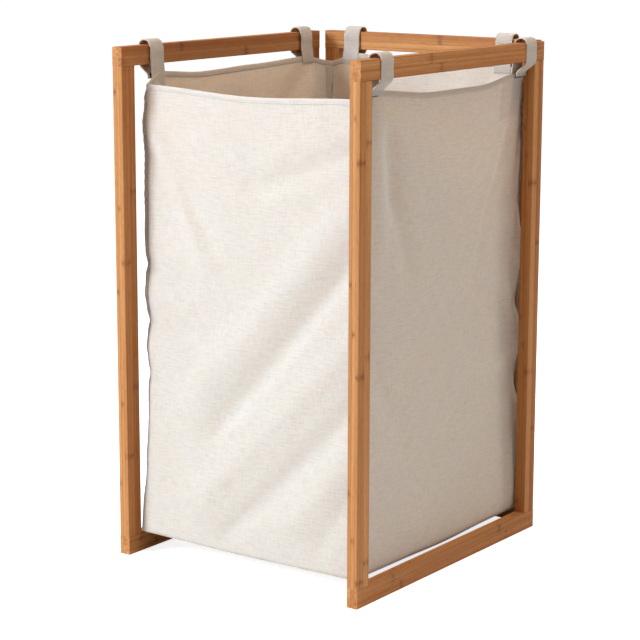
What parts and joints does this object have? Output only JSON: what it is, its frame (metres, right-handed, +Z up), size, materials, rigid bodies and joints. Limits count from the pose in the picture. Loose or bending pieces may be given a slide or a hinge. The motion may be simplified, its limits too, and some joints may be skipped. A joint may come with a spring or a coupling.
{
  "type": "laundry hamper",
  "caption": "Open-fronted bamboo laundry hamper: three upright rectangular frames with a removable linen bag hung from hook-and-loop straps over the rails.",
  "frame": {"origin": "on the floor, under the middle of the whole object", "axes": "+Z up, the open front faces -Y, +X to the right as seen from the front"},
  "size_m": [0.4054, 0.4772, 0.7075],
  "materials": {
    "bamboo": "satin lacquered carbonised bamboo",
    "dowel": "plain",
    "bracket": "zinc plated",
    "screw": "zinc plated",
    "bag_linen": "plain-weave natural linen",
    "hem_linen": "folded and stitched linen",
    "strap_linen": "doubled and top-stitched linen",
    "hook_tape": "hook tape",
    "loop_tape": "loop tape",
    "board": "hardboard",
    "label": "woven tape"
  },
  "bodies": {
    "frame": {"left_top_rail": "bamboo", "left_bottom_rail": "bamboo", "left_front_post": "bamboo", "left_back_post": "bamboo", "left_frame_dowels": "dowel", "right_top_rail": "bamboo", "right_bottom_rail": "bamboo", "right_front_post": "bamboo", "right_back_post": "bamboo", "right_frame_dowels": "dowel", "back_top_rail": "bamboo", "back_bottom_rail": "bamboo", "back_left_post": "bamboo", "back_right_post": "bamboo", "back_frame_dowels": "dowel", "left_lower_bracket": "bracket", "left_upper_bracket": "bracket", "right_lower_bracket": "bracket", "right_upper_bracket": "bracket", "left_bracket_screws": "screw", "right_bracket_screws": "screw"},
    "bag": {"bag_front_panel": "bag_linen", "bag_back_panel": "bag_linen", "bag_left_panel": "bag_linen", "bag_right_panel": "bag_linen", "bag_front_hem": "hem_linen", "bag_back_hem": "hem_linen", "bag_left_hem": "hem_linen", "bag_right_hem": "hem_linen", "bag_base_panel": "bag_linen", "base_board": "board", "care_label": "label", "loop_tapes": "loop_tape", "left_front_strap_leg": "strap_linen", "left_back_strap_leg": "strap_linen", "right_front_strap_leg": "strap_linen", "right_back_strap_leg": "strap_linen", "back_left_strap_leg": "strap_linen", "back_right_strap_leg": "strap_linen"},
    "left_front_strap": {"left_front_strap_flap": "strap_linen", "left_front_hook_tape": "hook_tape"},
    "left_back_strap": {"left_back_strap_flap": "strap_linen", "left_back_hook_tape": "hook_tape"},
    "right_front_strap": {"right_front_strap_flap": "strap_linen", "right_front_hook_tape": "hook_tape"},
    "right_back_strap": {"right_back_strap_flap": "strap_linen", "right_back_hook_tape": "hook_tape"},
    "back_left_strap": {"back_left_strap_flap": "strap_linen", "back_left_hook_tape": "hook_tape"},
    "back_right_strap": {"back_right_strap_flap": "strap_linen", "back_right_hook_tape": "hook_tape"}
  },
  "joints": [
    {"name": "bag_lift", "type": "slide", "parent": "frame", "child": "bag", "axis": [0, 0, 1], "range_m": [0, 0.7]},
    {"name": "left_front_strap_open", "type": "hinge", "parent": "bag", "child": "left_front_strap", "pos_m": [-0.18079, -0.16961, 0.6965], "axis": [0, 1, 0], "range_deg": [0, 105]},
    {"name": "left_back_strap_open", "type": "hinge", "parent": "bag", "child": "left_back_strap", "pos_m": [-0.18079, 0.17239, 0.6965], "axis": [0, 1, 0], "range_deg": [0, 105]},
    {"name": "right_front_strap_open", "type": "hinge", "parent": "bag", "child": "right_front_strap", "pos_m": [0.18079, -0.18161, 0.6965], "axis": [0, -1, 0], "range_deg": [0, 105]},
    {"name": "right_back_strap_open", "type": "hinge", "parent": "bag", "child": "right_back_strap", "pos_m": [0.18079, 0.17239, 0.6965], "axis": [0, -1, 0], "range_deg": [0, 105]},
    {"name": "back_left_strap_open", "type": "hinge", "parent": "bag", "child": "back_left_strap", "pos_m": [-0.1305, 0.21668, 0.6965], "axis": [1, 0, 0], "range_deg": [0, 105]},
    {"name": "back_right_strap_open", "type": "hinge", "parent": "bag", "child": "back_right_strap", "pos_m": [0.1305, 0.21668, 0.6965], "axis": [1, 0, 0], "range_deg": [0, 105]}
  ]
}
